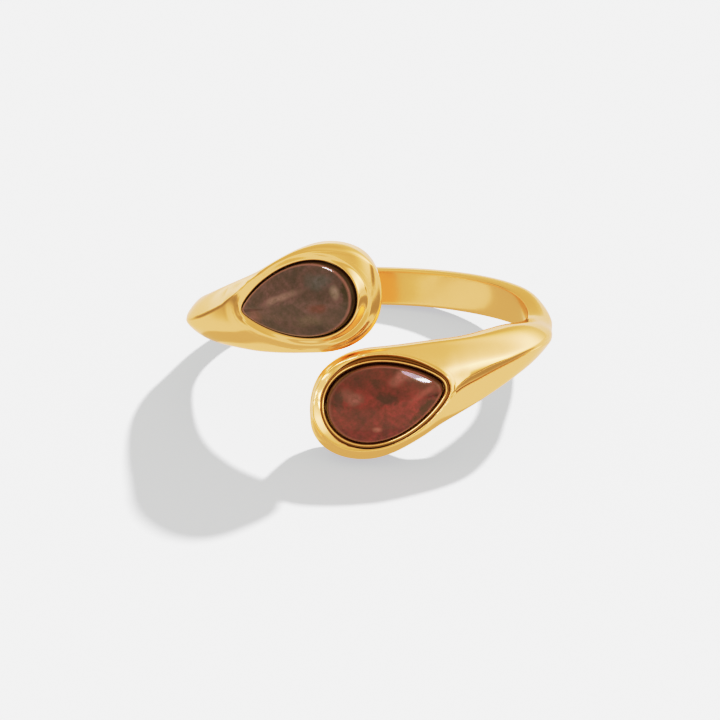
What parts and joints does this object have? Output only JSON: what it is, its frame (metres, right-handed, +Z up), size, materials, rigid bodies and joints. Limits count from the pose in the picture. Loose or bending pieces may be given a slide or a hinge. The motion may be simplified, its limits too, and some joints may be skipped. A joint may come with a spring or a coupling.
{
  "type": "wrap ring",
  "caption": "Open wrap ring of polished gold-coloured metal whose ends swell into pear-shaped heads that pass each other, with a grey-brown and a dusty red cabochon.",
  "frame": {"origin": "on the floor under the middle of the ring's bounding box, as it lies on its side at rest", "axes": "+Z up from the floor; +Y towards the plain back of the band, -Y towards the heads; +X to the right when the heads face the viewer"},
  "size_m": [0.0214, 0.0226, 0.0121],
  "materials": {
    "gold_metal": "polished",
    "grey_stone": "polished",
    "red_stone": "polished"
  },
  "bodies": {
    "root": {"band": "gold_metal", "grey_stone": "grey_stone", "red_stone": "red_stone"}
  },
  "joints": []
}
